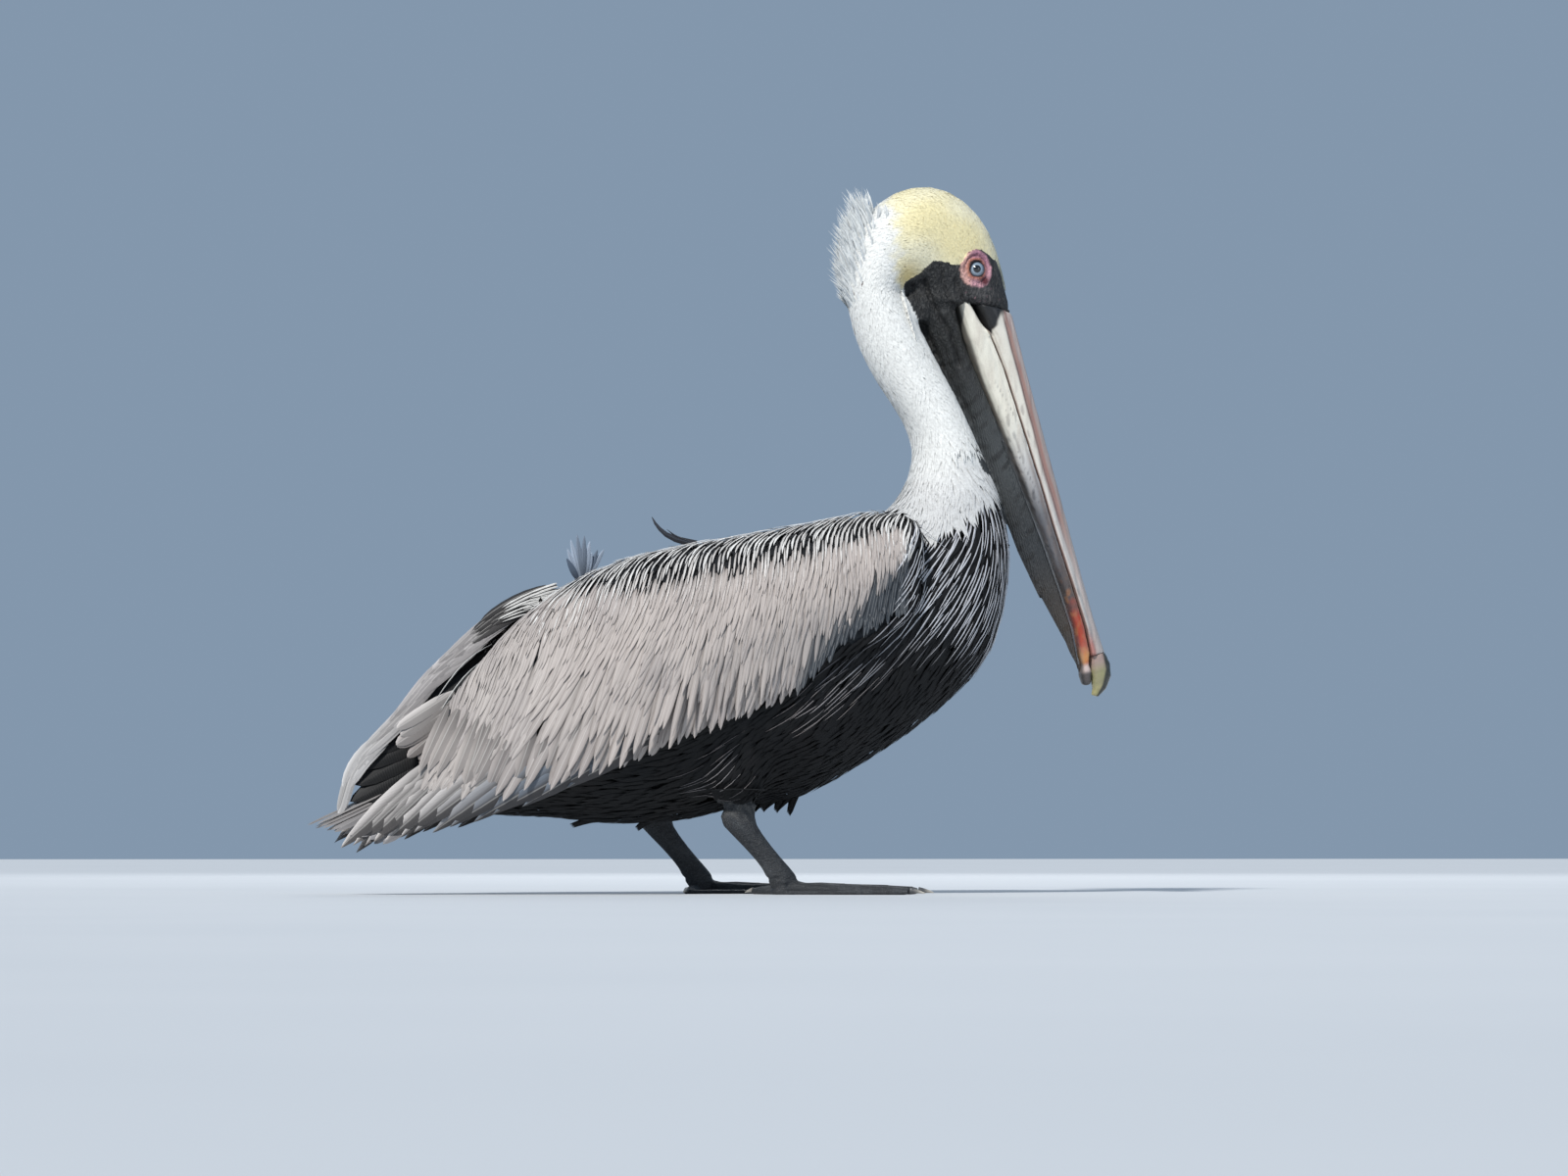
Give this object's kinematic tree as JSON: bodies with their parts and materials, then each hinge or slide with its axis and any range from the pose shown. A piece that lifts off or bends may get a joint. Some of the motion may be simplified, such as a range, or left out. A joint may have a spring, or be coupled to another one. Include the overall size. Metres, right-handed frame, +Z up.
{
  "type": "brown pelican",
  "caption": "Standing adult brown pelican, life size, wings folded and the long pouched bill held down against the neck.",
  "frame": {"origin": "on the floor, under the middle of the model's box", "axes": "+X the way the bird faces, +Y its left side, +Z up"},
  "size_m": [0.572, 0.1906, 0.5096],
  "materials": {
    "feather_grey": "silver-grey feathers, matt",
    "feather_dark": "blackish feathers, soft sheen",
    "feather_white": "white feathers, matt",
    "feather_yellow": "pale yellow feathers, matt",
    "pouch_skin": "dark bare skin, finely wrinkled",
    "bill_horn": "grey-white horn with pink and brown streaks",
    "nail_horn": "yellow-olive horn, smooth",
    "eye": "pale blue-grey iris, wet gloss",
    "leg_skin": "slate-grey scaly skin",
    "claw_horn": "dark horn with pale tips"
  },
  "bodies": {
    "root": {"bill_lower": "bill_horn", "bill_nail": "nail_horn", "bill_upper": "bill_horn", "claw_hallux_left": "claw_horn", "claw_hallux_right": "claw_horn", "claw_inner_left": "claw_horn", "claw_inner_right": "claw_horn", "claw_middle_left": "claw_horn", "claw_middle_right": "claw_horn", "claw_outer_left": "claw_horn", "claw_outer_right": "claw_horn", "crest": "feather_white", "eye_left": "eye", "eye_right": "eye", "foot_left": "leg_skin", "foot_right": "leg_skin", "head": "feather_yellow", "leg_left": "leg_skin", "leg_right": "leg_skin", "neck_lower": "feather_white", "neck_upper": "feather_white", "pouch": "pouch_skin", "quills_left": "feather_dark", "quills_right": "feather_dark", "tail": "feather_grey", "thigh_left": "feather_dark", "thigh_right": "feather_dark", "trunk": "feather_dark", "wing_arm_left": "feather_grey", "wing_arm_right": "feather_grey", "wing_hand_left": "feather_grey", "wing_hand_right": "feather_grey"}
  },
  "joints": []
}
